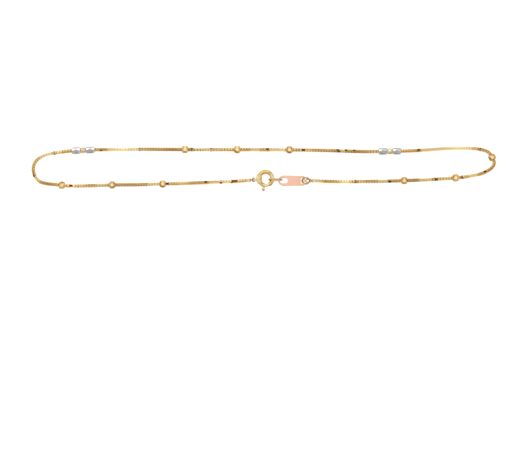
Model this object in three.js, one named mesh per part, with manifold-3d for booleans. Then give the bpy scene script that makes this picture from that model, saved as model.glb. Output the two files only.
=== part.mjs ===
// A beaded chain anklet lying flat in a long loop: a square-link box chain through nine diamond-cut beads
// and two three-piece stations, closed by a spring ring that hooks the jump ring of a slotted tag.
// Millimetres, +Z up, the surface it lies on at z = 0, the origin in the middle of the loop.
import * as THREE from "three";
import { mergeVertices } from "three/addons/utils/BufferGeometryUtils.js";
import Module from "manifold-3d";

const wasm = await Module();
wasm.setup();

// Chain
const CHAIN_WIDTH = 0.9;
const CHAIN_BAND = 0.5; // width of the flat wire that each square link is bent from
const CHAIN_STEP = 3.1; // longest straight stretch of the chain's solid between beads
const CHAIN_TURN = 38; // furthest that the chain rolls to either side, in degrees
const CHAIN_ROLL_LENGTH = 47; // chain from one roll to the next
const CHAIN_ABOVE_SURFACE = 0.02;

// Eyes soldered to the chain's two ends: radius of the wire's centre line, and the wire's diameter
const CLASP_EYE_RADIUS = 0.34;
const CLASP_EYE_WIRE = 0.22;
const CLASP_EYE_HEIGHT = 0.55;
const TAG_EYE_RADIUS = 0.5;
const TAG_EYE_WIRE = 0.34;
const TAG_EYE_STRAIGHT = 0.6; // flat sides of the oval eye at the tag
const TAG_EYE_LEAN = -32;
const EYE_CONE_LENGTH = 0.36; // solid cone that joins each eye to the first link

// Beads
const BEAD_DIAMETER = 2.06;
const BEAD_LENGTH = 1.74;
const BORE_CLEARANCE = 0.12; // round the chain's corners, in beads and station pieces
const STRAIGHT_MARGIN = 0.4; // straight chain beyond each end of a bead or station
const END_RIM = 0.07; // metal left round the bore at both ends of a bead or station piece

// Stations: a white tube, a yellow spacer and a second white tube
const TUBE_DIAMETER = 1.9;
const TUBE_LENGTH = 2.44;
const SPACER_DIAMETER = 1.6;
const SPACER_LENGTH = 1.34;
const STATION_GAP = 0.06;

// Spring ring clasp
const CLASP_DIAMETER = 5;
const CLASP_TUBE = 1.18;
const CLASP_WALL = 0.11;
const BOLT_CLEARANCE = 0.08;
const MOUTH_START = 262; // the gap in the ring, in degrees round its middle from +X
const MOUTH_END = 300;
const BOLT_SEAT = 4; // how far the closed bolt reaches into the far mouth, in degrees
const BOLT_TAIL = 26; // how far the closed bolt reaches back into the tube
const BOLT_TRAVEL = 42;
const TRIGGER_ANGLE = 258;
const TRIGGER_POST = 0.62;
const TRIGGER_KNOB = 1;
const TRIGGER_REACH = 3.6; // from the middle of the ring to the trigger's tip
const COLLAR_START = 153;
const COLLAR_END = 215;
const COLLAR_THICKNESS = 0.22;
const EYELET_ANGLE = 185;
const EYELET_HOLE = 0.58;
const EYELET_RIM = 0.2;
const EYELET_THICKNESS = 0.4;
const EYELET_CLEARANCE = 0.08; // between the jump ring in the eyelet and the collar

// Jump rings: radius of the wire's centre line, and the wire's diameter
const CHAIN_RING_RADIUS = 0.5;
const CHAIN_RING_WIRE = 0.32;
const HOOK_RING_RADIUS = 0.92;
const HOOK_RING_WIRE = 0.42;
const HOOK_RING_STRAIGHT = 1.75; // flat sides of the oval hook ring
const HOOK_RING_LEAN = 80;
const TAG_RING_RADIUS = 1.04;
const TAG_RING_WIRE = 0.46;
const TAG_RING_LEAN = 36;

// Tag
const TAG_LENGTH = 7.38;
const TAG_WIDTH = 3.05;
const TAG_END_WIDTH = 2.75;
const TAG_THICKNESS = 0.35;
const TAG_CORNER = 0.3;
const TAG_SLOT_LENGTH = 2.2;
const TAG_SLOT_WIDTH = 1.4;
const TAG_SLOT_RIM = 0.45;
const TAG_HOLE_LENGTH = 0.86;
const TAG_HOLE_WIDTH = 1.7;
const TAG_HOLE_RIM = 0.24;

// Where things lie on the surface
const CLASP_MIDDLE = new THREE.Vector3(0.48, -2.83, 1.16);
const TAG_LEFT_END = new THREE.Vector3(4.01, -3.41, 1);
const HOOK_RING_MIDDLE_Y = -3.12;

// The chain's route on the surface from the clasp's eye to the tag's, between the two ends
const ROUTE = [
  [-7.71, -3.53],
  [-13.81, -3.81],
  [-20.51, -4.04],
  [-28.11, -4.29],
  [-35.11, -4.47],
  [-42.81, -4.57],
  [-49.11, -4.79],
  [-53.61, -4.86],
  [-56.71, -4.60],
  [-60.61, -4.22],
  [-62.61, -3.69],
  [-63.71, -2.73],
  [-64.36, -1.35],
  [-64.53, 0.05],
  [-64.11, 1.59],
  [-63.01, 2.85],
  [-60.91, 3.86],
  [-57.51, 4.52],
  [-54.11, 4.95],
  [-50.51, 5.16],
  [-46.91, 5.28],
  [-40.71, 5.36],
  [-31.71, 5.43],
  [-22.01, 5.35],
  [-14.71, 5.33],
  [-7.41, 5.31],
  [-0.11, 5.29],
  [7.19, 5.25],
  [18.69, 5.06],
  [27.59, 4.79],
  [31.79, 4.79],
  [35.39, 4.87],
  [39.39, 4.93],
  [45.29, 5.19],
  [51.09, 5.61],
  [57.29, 5.73],
  [60.69, 5.36],
  [62.50, 4.79],
  [63.45, 3.98],
  [64.15, 2.86],
  [64.45, 1.66],
  [64.14, 0.67],
  [62.99, -0.40],
  [60.39, -1.55],
  [56.69, -2.24],
  [53.79, -2.59],
  [46.69, -3.04],
  [39.29, -3.34],
  [32.69, -3.53],
  [23.09, -3.62],
  [17.49, -3.56],
];

// Lengths along the chain from the clasp's eye to the middle of each bead and station
const BEAD_PLACES = [24.4, 38.5, 52.6, 107.8, 122.4, 137.0, 194.7, 208.7, 223.1];
const STATION_PLACES = [79.3, 165.1];

const YELLOW_GOLD = { color: 0xd9a95a, metalness: 1, roughness: 0.25 };
const WHITE_GOLD = { color: 0xd4d6da, metalness: 1, roughness: 0.2 };
const ROSE_GOLD = { color: 0xf2b8a0, metalness: 1, roughness: 0.4 };

const UP = new THREE.Vector3(0, 0, 1);
const RING_SIDES = 8;
const RING_SEGMENTS = 26;
const BORE_SIDES = 14;
const CLASP_SIDES = 14;
const BOLT_SIDES = 12;
const EYELET_SIDES = 20;
const FACETS = 8;
const ARC_STEP = 7; // degrees of bend in one straight stretch of a bent tube
const ROUND_SHARE = 0.45; // corner radius of a slot as a share of its narrow side

const radians = THREE.MathUtils.degToRad;
const chainCorner = Math.hypot(CHAIN_WIDTH / 2, CHAIN_BAND / 2);
const boreRadius = chainCorner + BORE_CLEARANCE;
const chainRest = chainCorner + CHAIN_ABOVE_SURFACE;
const claspPath = (CLASP_DIAMETER - CLASP_TUBE) / 2;

// A three.js geometry as a solid that can be joined and cut
function solid(geometry) {
  const bare = geometry.index ? geometry.toNonIndexed() : geometry.clone();
  for (const name of Object.keys(bare.attributes)) {
    if (name !== "position") {
      bare.deleteAttribute(name);
    }
  }
  const merged = mergeVertices(bare, 1e-5);
  return new wasm.Manifold(
    new wasm.Mesh({
      numProp: 3,
      vertProperties: merged.attributes.position.array,
      triVerts: new Uint32Array(merged.index.array),
    }),
  );
}

// A joined or cut solid as a named mesh
function piece(name, made, finish) {
  const mesh = made.getMesh();
  const geometry = new THREE.BufferGeometry();
  geometry.setAttribute("position", new THREE.BufferAttribute(mesh.vertProperties, 3));
  geometry.setIndex(new THREE.BufferAttribute(mesh.triVerts, 1));
  geometry.computeVertexNormals();
  const result = new THREE.Mesh(geometry, new THREE.MeshStandardMaterial(finish));
  result.name = name;
  return result;
}

// A tube of round section along part of a circle about the origin, from one angle to another
class Arc extends THREE.Curve {
  constructor(radius, from, to) {
    super();
    this.radius = radius;
    this.from = radians(from);
    this.to = radians(to);
  }

  getPoint(t, target = new THREE.Vector3()) {
    const angle = this.from + (this.to - this.from) * t;
    return target.set(this.radius * Math.cos(angle), this.radius * Math.sin(angle), 0);
  }
}

function roundShape(radius, sides) {
  const corners = [];
  for (let i = 0; i < sides; i++) {
    const angle = ((i + 0.5) / sides) * 2 * Math.PI;
    corners.push(new THREE.Vector2(radius * Math.cos(angle), radius * Math.sin(angle)));
  }
  return new THREE.Shape(corners);
}

function bentRod(pathRadius, rodRadius, from, to, sides) {
  const steps = Math.max(2, Math.ceil((to - from) / ARC_STEP));
  return new THREE.ExtrudeGeometry(roundShape(rodRadius, sides), {
    steps,
    extrudePath: new Arc(pathRadius, from, to),
  });
}

// A wire ring in the XY plane; straight pulls its halves apart along X into an oval
function ring(radius, wire, straight = 0) {
  const made = new THREE.TorusGeometry(radius, wire / 2, RING_SIDES, RING_SEGMENTS);
  made.rotateZ(Math.PI / RING_SEGMENTS);
  const places = made.attributes.position;
  for (let i = 0; i < places.count; i++) {
    places.setX(i, places.getX(i) + (Math.sign(places.getX(i)) * straight) / 2);
  }
  return made;
}

// A round rod along X, centred on the origin
function rodAlongX(radius, length, sides) {
  return new THREE.CylinderGeometry(radius, radius, length, sides).rotateZ(Math.PI / 2);
}

// The height of the chain's centre line: lifted by what it passes through, lying on the surface between
function fallOff(distance) {
  const level = 1.5;
  const slope = 3;
  return 1 - THREE.MathUtils.smoothstep(distance, level, level + slope);
}

const beadHeight = BEAD_DIAMETER / 2;
const tubeHeight = TUBE_DIAMETER / 2;
const stationLength = 2 * TUBE_LENGTH + SPACER_LENGTH + 2 * STATION_GAP;

class ChainRoute extends THREE.Curve {
  constructor(start, end) {
    super();
    const between = ROUTE.map(([x, y]) => new THREE.Vector3(x, y, 0));
    const flat = [start.clone().setZ(0), ...between, end.clone().setZ(0)];
    this.plan = new THREE.CatmullRomCurve3(flat, false, "centripetal");
    this.plan.arcLengthDivisions = 2000;
    this.length = this.plan.getLength();
    const beadHalf = BEAD_LENGTH / 2 + STRAIGHT_MARGIN;
    const stationHalf = stationLength / 2 + STRAIGHT_MARGIN;
    const threadedPieces = [
      ...BEAD_PLACES.map((middle) => ({ middle, half: beadHalf, height: beadHeight })),
      ...STATION_PLACES.map((middle) => ({ middle, half: stationHalf, height: tubeHeight })),
    ].sort((a, b) => a.middle - b.middle);
    const tips = [
      { middle: 0, half: 0, height: start.z },
      { middle: this.length, half: 0, height: end.z },
    ];
    this.holds = [...threadedPieces, ...tips];
    this.stops = [0];
    for (const { middle, half } of [...threadedPieces, tips[1]]) {
      const from = this.stops.at(-1);
      const gap = middle - half - from;
      const count = Math.ceil(gap / CHAIN_STEP);
      for (let i = 1; i <= count; i++) {
        this.stops.push(from + (gap * i) / count);
      }
      if (half > 0) {
        this.stops.push(middle + half);
      }
    }
  }

  getPoint(t, target = new THREE.Vector3()) {
    const along = t * this.length;
    target.copy(this.plan.getPointAt(t));
    target.z = chainRest;
    for (const { middle, half, height } of this.holds) {
      target.z += (height - chainRest) * fallOff(Math.abs(along - middle) - half);
    }
    return target;
  }

  // The section stands at both ends of each straight stretch in a bead or station, and at even steps between
  getSpacedPoints() {
    return this.stops.map((along) => this.getPoint(Math.min(1, along / this.length)));
  }

  // The frames roll slowly about the chain, as a box chain turns along its length
  computeFrenetFrames() {
    const points = this.getSpacedPoints();
    const tangents = [];
    const normals = [];
    const binormals = [];
    points.forEach((point, i) => {
      const before = points[Math.max(0, i - 1)];
      const after = points[Math.min(points.length - 1, i + 1)];
      const tangent = new THREE.Vector3().subVectors(after, before).normalize();
      const side = new THREE.Vector3().crossVectors(UP, tangent).normalize();
      const phase = (this.stops[i] * 2 * Math.PI) / CHAIN_ROLL_LENGTH;
      side.applyAxisAngle(tangent, radians(CHAIN_TURN) * Math.sin(phase));
      tangents.push(tangent);
      normals.push(side);
      binormals.push(new THREE.Vector3().crossVectors(tangent, side));
    });
    return { tangents, normals, binormals };
  }
}

// The section that square links leave when every second one is turned a quarter: a plus sign
function chainSection() {
  const reach = CHAIN_WIDTH / 2;
  const half = CHAIN_BAND / 2;
  const quarter = [
    [reach, -half],
    [reach, half],
    [half, half],
  ];
  const corners = [];
  for (let turn = 0; turn < 4; turn++) {
    for (const [x, y] of quarter) {
      corners.push(new THREE.Vector2(x, y).rotateAround(new THREE.Vector2(), (turn * Math.PI) / 2));
    }
  }
  return new THREE.Shape(corners);
}

// Places that clasp, rings, eyes and tag share
const collarRadius = CLASP_TUBE / 2 + COLLAR_THICKNESS;
const claspOutward = new THREE.Vector3(1, 0, 0).applyAxisAngle(UP, radians(EYELET_ANGLE));
const eyeletDistance = claspPath + collarRadius + EYELET_CLEARANCE + CHAIN_RING_WIRE / 2;
const chainRingDrop = CLASP_MIDDLE.z - CLASP_EYE_HEIGHT;
const chainRingSlope = Math.asin(chainRingDrop / (2 * CHAIN_RING_RADIUS));
const claspEyeDistance = eyeletDistance + 2 * CHAIN_RING_RADIUS * Math.cos(chainRingSlope);

function outFromClasp(distance, z) {
  return CLASP_MIDDLE.clone().addScaledVector(claspOutward, distance).setZ(z);
}

const claspEyeMiddle = outFromClasp(claspEyeDistance, CLASP_EYE_HEIGHT);
const chainStart = outFromClasp(claspEyeDistance + CLASP_EYE_RADIUS + EYE_CONE_LENGTH, CLASP_EYE_HEIGHT);
const tagRightEnd = TAG_LEFT_END.x + TAG_LENGTH;
const tagHoleX = tagRightEnd - TAG_HOLE_RIM - TAG_HOLE_LENGTH / 2;
const tagRingMiddle = new THREE.Vector3(tagHoleX + TAG_RING_RADIUS, TAG_LEFT_END.y, TAG_LEFT_END.z);
const tagEyeX = tagRingMiddle.x + TAG_RING_RADIUS - TAG_EYE_STRAIGHT / 2;
const tagEyeMiddle = tagRingMiddle.clone().setX(tagEyeX);
const chainEnd = tagEyeMiddle.clone().setX(tagEyeX + TAG_EYE_STRAIGHT / 2 + TAG_EYE_RADIUS + EYE_CONE_LENGTH);

const route = new ChainRoute(chainStart, chainEnd);

function boxChain() {
  const steps = route.stops.length - 1;
  const links = solid(new THREE.ExtrudeGeometry(chainSection(), { steps, extrudePath: route }));
  const claspEye = ring(CLASP_EYE_RADIUS, CLASP_EYE_WIRE).rotateX(Math.PI / 2).rotateZ(radians(EYELET_ANGLE));
  const tagEye = ring(TAG_EYE_RADIUS, TAG_EYE_WIRE, TAG_EYE_STRAIGHT).rotateX(radians(TAG_EYE_LEAN));
  return links
    .add(solid(claspEye.translate(...claspEyeMiddle)))
    .add(solid(tagEye.translate(...tagEyeMiddle)))
    .add(solid(eyeCone(CLASP_EYE_WIRE, chainStart, radians(EYELET_ANGLE) + Math.PI)))
    .add(solid(eyeCone(TAG_EYE_WIRE, chainEnd, Math.PI)));
}

// A cone that widens from an eye's wire to the chain's corners; turn is the way from the chain to the eye
function eyeCone(wire, chainTip, turn) {
  return new THREE.CylinderGeometry(wire / 2, chainCorner, EYE_CONE_LENGTH, BORE_SIDES)
    .rotateZ(-Math.PI / 2)
    .translate(EYE_CONE_LENGTH / 2, 0, 0)
    .rotateZ(turn)
    .translate(...chainTip);
}

// One row of flat cuts round a blank that lies along X, and the same row mirrored to its other half. Each
// plane holds the line from one point of the profile to the next; shift turns the row by a part of one step.
function cutRow(blank, [x1, r1], [x2, r2], shift) {
  const outward = new THREE.Vector2(r1 - r2, x2 - x1).normalize();
  const reach = outward.x * x1 + outward.y * r1;
  let made = blank;
  for (let i = 0; i < FACETS; i++) {
    const angle = ((i + shift) / FACETS) * 2 * Math.PI;
    for (const side of [-1, 1]) {
      const inward = [-side * outward.x, -outward.y * Math.sin(angle), outward.y * Math.cos(angle)];
      made = made.trimByPlane(inward, -reach);
    }
  }
  return made;
}

// A drilled bead cut with rows of flat facets. Its profile lists, from the middle to the end, a share of the
// half length and a share of the way from the end rim's radius to the full radius.
function facetedBead(diameter, length, profile, firstShift) {
  const endRadius = boreRadius + END_RIM;
  const points = profile.map(([along, out]) => [
    (along * length) / 2,
    THREE.MathUtils.lerp(endRadius, diameter / 2, out),
  ]);
  let made = solid(rodAlongX(diameter, length, BORE_SIDES));
  for (let i = 0; i + 1 < points.length; i++) {
    made = cutRow(made, points[i], points[i + 1], (i % 2) / 2 + firstShift);
  }
  return made.subtract(solid(rodAlongX(boreRadius, 2 * length, BORE_SIDES)));
}

const BEAD_PROFILE = [
  [0, 1],
  [0.4, 1],
  [0.88, 0.28],
  [1, 0],
];
const TUBE_PROFILE = [
  [0, 1],
  [0.3, 1],
  [0.86, 0.56],
  [1, 0],
];
const SPACER_PROFILE = [
  [0, 1],
  [0.25, 1],
  [1, 0],
];

// Threads a mesh on the straight stretch that reaches half its length to both sides of a place on the chain
function threaded(mesh, place, half, offset = 0) {
  const reach = half + STRAIGHT_MARGIN;
  const before = route.getPoint((place - reach) / route.length);
  const after = route.getPoint((place + reach) / route.length);
  const direction = new THREE.Vector3().subVectors(after, before).normalize();
  mesh.rotation.z = Math.atan2(direction.y, direction.x);
  mesh.position.copy(before).lerp(after, 0.5).addScaledVector(direction, offset);
  return mesh;
}

function beads() {
  const cut = facetedBead(BEAD_DIAMETER, BEAD_LENGTH, BEAD_PROFILE, 0);
  const half = BEAD_LENGTH / 2;
  return BEAD_PLACES.map((place, i) => threaded(piece(`bead_${i + 1}`, cut, YELLOW_GOLD), place, half));
}

function stations() {
  const tube = facetedBead(TUBE_DIAMETER, TUBE_LENGTH, TUBE_PROFILE, 0);
  const spacer = facetedBead(SPACER_DIAMETER, SPACER_LENGTH, SPACER_PROFILE, 0.5);
  const offset = (TUBE_LENGTH + SPACER_LENGTH) / 2 + STATION_GAP;
  const half = stationLength / 2;
  return STATION_PLACES.flatMap((place, i) => [
    threaded(piece(`station_${i + 1}_first_tube`, tube, WHITE_GOLD), place, half, -offset),
    threaded(piece(`station_${i + 1}_spacer`, spacer, YELLOW_GOLD), place, half),
    threaded(piece(`station_${i + 1}_second_tube`, tube, WHITE_GOLD), place, half, offset),
  ]);
}

// The clasp's pieces are drawn about the middle of the ring
const boltRadius = CLASP_TUBE / 2 - CLASP_WALL - BOLT_CLEARANCE;
const boltStart = TRIGGER_ANGLE - BOLT_TAIL;
const boltEnd = MOUTH_END + BOLT_SEAT;
const triggerHalfAngle = THREE.MathUtils.radToDeg(TRIGGER_POST / 2 / claspPath);

function claspRing() {
  const hollowRadius = CLASP_TUBE / 2 - CLASP_WALL;
  const springRoom = 36;
  const past = 2;
  const hollowStart = boltStart - BOLT_TRAVEL - springRoom;
  const slotStart = TRIGGER_ANGLE - BOLT_TRAVEL - 2 * triggerHalfAngle;
  const tube = bentRod(claspPath, CLASP_TUBE / 2, MOUTH_END, MOUTH_START + 360, CLASP_SIDES);
  const collar = bentRod(claspPath, collarRadius, COLLAR_START, COLLAR_END, CLASP_SIDES);
  const nearHollow = bentRod(claspPath, hollowRadius, hollowStart, MOUTH_START + past, BOLT_SIDES);
  const farHollow = bentRod(claspPath, hollowRadius, MOUTH_END - past, boltEnd + past, BOLT_SIDES);
  return solid(tube)
    .add(solid(collar))
    .add(solid(eyeletRod(EYELET_HOLE / 2 + EYELET_RIM, EYELET_THICKNESS)))
    .subtract(solid(eyeletRod(EYELET_HOLE / 2, 2 * EYELET_THICKNESS)))
    .subtract(solid(nearHollow))
    .subtract(solid(farHollow))
    .subtract(solid(triggerSlot(slotStart, MOUTH_START + past)));
}

// A short level rod across the middle of the upright eyelet
function eyeletRod(radius, width) {
  return new THREE.CylinderGeometry(radius, radius, width, EYELET_SIDES)
    .translate(eyeletDistance, 0, 0)
    .rotateZ(radians(EYELET_ANGLE));
}

// A flat sector outside the ring's centre line that the trigger's post runs in
function triggerSlot(from, to) {
  const outline = new THREE.Shape();
  outline.absarc(0, 0, CLASP_DIAMETER, radians(from), radians(to), false);
  outline.absarc(0, 0, claspPath, radians(to), radians(from), true);
  const height = TRIGGER_POST + 2 * BOLT_CLEARANCE;
  const sector = new THREE.ExtrudeGeometry(outline, { depth: height, bevelEnabled: false, curveSegments: 8 });
  return sector.translate(0, 0, -height / 2);
}

function claspBolt() {
  const rod = solid(bentRod(claspPath, boltRadius, boltStart, boltEnd, BOLT_SIDES));
  const length = TRIGGER_REACH - claspPath;
  const post = TRIGGER_POST / 2;
  const knob = TRIGGER_KNOB / 2;
  const profile = [
    [0, 0],
    [post, 0],
    [post, 0.48 * length],
    [knob, 0.7 * length],
    [0.85 * knob, 0.86 * length],
    [0.3 * knob, length],
    [0, length],
  ].map(([x, y]) => new THREE.Vector2(x, y));
  const trigger = new THREE.LatheGeometry(profile, BOLT_SIDES)
    .rotateZ(-Math.PI / 2)
    .translate(claspPath, 0, 0)
    .rotateZ(radians(TRIGGER_ANGLE));
  return rod.add(solid(trigger));
}

function clasp() {
  const group = new THREE.Group();
  group.position.copy(CLASP_MIDDLE);
  group.add(piece("clasp_ring", claspRing(), YELLOW_GOLD));
  group.add(piece("clasp_bolt", claspBolt(), YELLOW_GOLD));
  return group;
}

function jumpRings() {
  const chainRing = ring(CHAIN_RING_RADIUS, CHAIN_RING_WIRE);
  const hookRing = ring(HOOK_RING_RADIUS, HOOK_RING_WIRE, HOOK_RING_STRAIGHT);
  const tagRing = ring(TAG_RING_RADIUS, TAG_RING_WIRE);
  chainRing.rotateY(chainRingSlope).rotateZ(radians(EYELET_ANGLE));
  hookRing.rotateX(radians(HOOK_RING_LEAN));
  tagRing.rotateX(radians(TAG_RING_LEAN));
  const hookOffsetY = HOOK_RING_MIDDLE_Y - CLASP_MIDDLE.y;
  const tubeX = CLASP_MIDDLE.x + Math.sqrt(claspPath ** 2 - hookOffsetY ** 2);
  const chainRingDistance = (eyeletDistance + claspEyeDistance) / 2;
  chainRing.translate(...outFromClasp(chainRingDistance, CLASP_MIDDLE.z - chainRingDrop / 2));
  hookRing.translate(tubeX + HOOK_RING_STRAIGHT / 2, HOOK_RING_MIDDLE_Y, CLASP_MIDDLE.z);
  tagRing.translate(...tagRingMiddle);
  return [
    piece("chain_jump_ring", solid(chainRing), YELLOW_GOLD),
    piece("hook_jump_ring", solid(hookRing), YELLOW_GOLD),
    piece("tag_jump_ring", solid(tagRing), YELLOW_GOLD),
  ];
}

// A slot outline with round corners, centred on a point of the tag's long axis
function roundedSlot(x, length, width) {
  const hole = new THREE.Path();
  const corner = ROUND_SHARE * Math.min(length, width);
  const left = x - length / 2 + corner;
  const right = x + length / 2 - corner;
  const side = width / 2 - corner;
  hole.absarc(left, -side, corner, Math.PI, 1.5 * Math.PI);
  hole.absarc(right, -side, corner, 1.5 * Math.PI, 2 * Math.PI);
  hole.absarc(right, side, corner, 0, 0.5 * Math.PI);
  hole.absarc(left, side, corner, 0.5 * Math.PI, Math.PI);
  hole.closePath();
  return hole;
}

function tagPlate() {
  const half = TAG_WIDTH / 2;
  const endHalf = TAG_END_WIDTH / 2;
  const outline = new THREE.Shape();
  outline.absarc(half, 0, half, 0.5 * Math.PI, 1.5 * Math.PI);
  outline.lineTo(TAG_LENGTH - TAG_CORNER, -endHalf);
  outline.lineTo(TAG_LENGTH, -endHalf + TAG_CORNER);
  outline.lineTo(TAG_LENGTH, endHalf - TAG_CORNER);
  outline.lineTo(TAG_LENGTH - TAG_CORNER, endHalf);
  outline.closePath();
  const slotMiddle = TAG_SLOT_RIM + TAG_SLOT_LENGTH / 2;
  outline.holes.push(roundedSlot(slotMiddle, TAG_SLOT_LENGTH, TAG_SLOT_WIDTH));
  outline.holes.push(roundedSlot(tagHoleX - TAG_LEFT_END.x, TAG_HOLE_LENGTH, TAG_HOLE_WIDTH));
  const sheet = { depth: TAG_THICKNESS, bevelEnabled: false, curveSegments: 5 };
  const plate = new THREE.ExtrudeGeometry(outline, sheet);
  plate.translate(TAG_LEFT_END.x, TAG_LEFT_END.y, TAG_LEFT_END.z - TAG_THICKNESS / 2);
  return piece("tag_plate", solid(plate), ROSE_GOLD);
}

const anklet = new THREE.Group();
anklet.add(piece("box_chain", boxChain(), YELLOW_GOLD), ...beads(), ...stations());
anklet.add(clasp(), ...jumpRings(), tagPlate());

export default anklet;
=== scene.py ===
# A beaded box chain anklet that lies in a long loop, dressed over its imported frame.
# Sizes are written in millimetres and turned into metres, the frame's unit, by the factor MM. What sets the
# floor, the light, the camera's height and the scale of noise and relief is in metres.
import math

import bmesh
import bpy
import numpy as np
from mathutils import Matrix, Vector

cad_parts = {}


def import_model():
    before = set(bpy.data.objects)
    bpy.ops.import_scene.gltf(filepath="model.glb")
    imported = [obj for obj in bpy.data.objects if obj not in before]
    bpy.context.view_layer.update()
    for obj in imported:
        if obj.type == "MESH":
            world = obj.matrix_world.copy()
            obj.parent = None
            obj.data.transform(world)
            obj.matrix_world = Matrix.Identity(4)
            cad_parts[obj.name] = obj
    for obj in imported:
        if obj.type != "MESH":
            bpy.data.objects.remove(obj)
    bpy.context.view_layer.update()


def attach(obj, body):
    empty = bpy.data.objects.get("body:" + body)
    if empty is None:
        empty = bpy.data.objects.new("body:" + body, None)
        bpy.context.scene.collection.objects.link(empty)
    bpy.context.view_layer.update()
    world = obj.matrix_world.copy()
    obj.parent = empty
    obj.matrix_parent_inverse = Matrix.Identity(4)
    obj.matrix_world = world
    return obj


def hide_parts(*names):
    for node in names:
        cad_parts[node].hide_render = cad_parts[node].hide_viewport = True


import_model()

MM = 0.001

# Chain and what is threaded on it, as the frame has them
CHAIN_WIDTH = 0.9
CHAIN_BAND = 0.5
CHAIN_TURN = math.radians(38)
CHAIN_ROLL_LENGTH = 47
CHAIN_GROUND_GAP = 0.02
CHAIN_CORNER = math.hypot(CHAIN_WIDTH / 2, CHAIN_BAND / 2)
CHAIN_REST = CHAIN_CORNER + CHAIN_GROUND_GAP
# How far past a straight stretch the lifted chain begins to sink, and lies low again
SINK_START = 1.5
SINK_END = 4.5
STRAIGHT_MARGIN = 0.4
BORE_CLEARANCE = 0.12
BORE_RADIUS = CHAIN_CORNER + BORE_CLEARANCE
END_RIM = 0.07
BEAD_DIAMETER = 2.06
BEAD_LENGTH = 1.74
TUBE_DIAMETER = 1.9
TUBE_LENGTH = 2.44
SPACER_DIAMETER = 1.6
SPACER_LENGTH = 1.34
STATION_GAP = 0.06
STATION_LENGTH = 2 * TUBE_LENGTH + SPACER_LENGTH + 2 * STATION_GAP
FACETS = 8
# Rows of flat cuts from the middle to the end: a share of the half length, and a share of the way out from
# the end's rim to the full radius
BEAD_PROFILE = [(0, 1), (0.4, 1), (0.88, 0.28), (1, 0)]
TUBE_PROFILE = [(0, 1), (0.3, 1), (0.86, 0.56), (1, 0)]
SPACER_PROFILE = [(0, 1), (0.25, 1), (1, 0)]

# Spring ring clasp; angles in degrees about its middle
CLASP_MIDDLE = np.array([0.48, -2.83, 1.16])
CLASP_PATH = 1.91
CLASP_TUBE = 1.18
CLASP_WALL = 0.11
COLLAR_RADIUS = 0.81
COLLAR_START = 153
COLLAR_END = 215
EYELET_ANGLE = 185
EYELET_HOLE = 0.58
EYELET_RIM = 0.2
EYELET_THICKNESS = 0.4
EYELET_CLEARANCE = 0.08
MOUTH_START = 262
MOUTH_END = 300
BOLT_RADIUS = 0.4
BOLT_START = 232
BOLT_END = 304
BOLT_TRAVEL = 42
SPRING_ROOM = 36
MOUTH_OVERCUT = 2
TRIGGER_ANGLE = 258
TRIGGER_POST = 0.62
TRIGGER_KNOB = 1.0
TRIGGER_REACH = 3.6
TRIGGER_SLOT_GAP = 0.16
TRIGGER_SLOT_REACH = 5

# Rings and eyes: radius of the wire's centre line, and the wire's diameter
CHAIN_RING = (0.5, 0.32)
HOOK_RING = (0.92, 0.42)
HOOK_RING_STRAIGHT = 1.75
HOOK_RING_LEAN = 80
HOOK_RING_MIDDLE_Y = -3.12
TAG_RING = (1.04, 0.46)
TAG_RING_LEAN = 36
CLASP_EYE = (0.34, 0.22)
CLASP_EYE_HEIGHT = 0.55
TAG_EYE = (0.5, 0.34)
TAG_EYE_STRAIGHT = 0.6
TAG_EYE_LEAN = -32
CONE_LENGTH = 0.36

# Tag; its slot and hole are a distance from the left end, a length and a width
TAG_LEFT_END = np.array([4.01, -3.41, 1.0])
TAG_LENGTH = 7.38
TAG_WIDTH = 3.05
TAG_END_WIDTH = 2.75
TAG_THICKNESS = 0.35
TAG_SLOT = (0.45, 2.2, 1.4)
TAG_HOLE_RIM = 0.24
TAG_HOLE = (TAG_LENGTH - TAG_HOLE_RIM - 0.86, 0.86, 1.7)
TAG_CORNER = 0.3
ROUND_SHARE = 0.45

# The chain's middle line in plan between its two ends, by points chosen one by one
ROUTE = [
    (-7.71, -3.53), (-13.81, -3.81), (-20.51, -4.04), (-28.11, -4.29), (-35.11, -4.47),
    (-42.81, -4.57), (-49.11, -4.79), (-53.61, -4.86), (-56.71, -4.60), (-60.61, -4.22),
    (-62.61, -3.69), (-63.71, -2.73), (-64.36, -1.35), (-64.53, 0.05), (-64.11, 1.59),
    (-63.01, 2.85), (-60.91, 3.86), (-57.51, 4.52), (-54.11, 4.95), (-50.51, 5.16),
    (-46.91, 5.28), (-40.71, 5.36), (-31.71, 5.43), (-22.01, 5.35), (-14.71, 5.33),
    (-7.41, 5.31), (-0.11, 5.29), (7.19, 5.25), (18.69, 5.06), (27.59, 4.79),
    (31.79, 4.79), (35.39, 4.87), (39.39, 4.93), (45.29, 5.19), (51.09, 5.61),
    (57.29, 5.73), (60.69, 5.36), (62.50, 4.79), (63.45, 3.98), (64.15, 2.86),
    (64.45, 1.66), (64.14, 0.67), (62.99, -0.40), (60.39, -1.55), (56.69, -2.24),
    (53.79, -2.59), (46.69, -3.04), (39.29, -3.34), (32.69, -3.53), (23.09, -3.62),
    (17.49, -3.56),
]
# Lengths along the chain from the clasp's end to the middle of each bead and station
BEAD_PLACES = [24.4, 38.5, 52.6, 107.8, 122.4, 137.0, 194.7, 208.7, 223.1]
STATION_PLACES = [79.3, 165.1]

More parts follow.
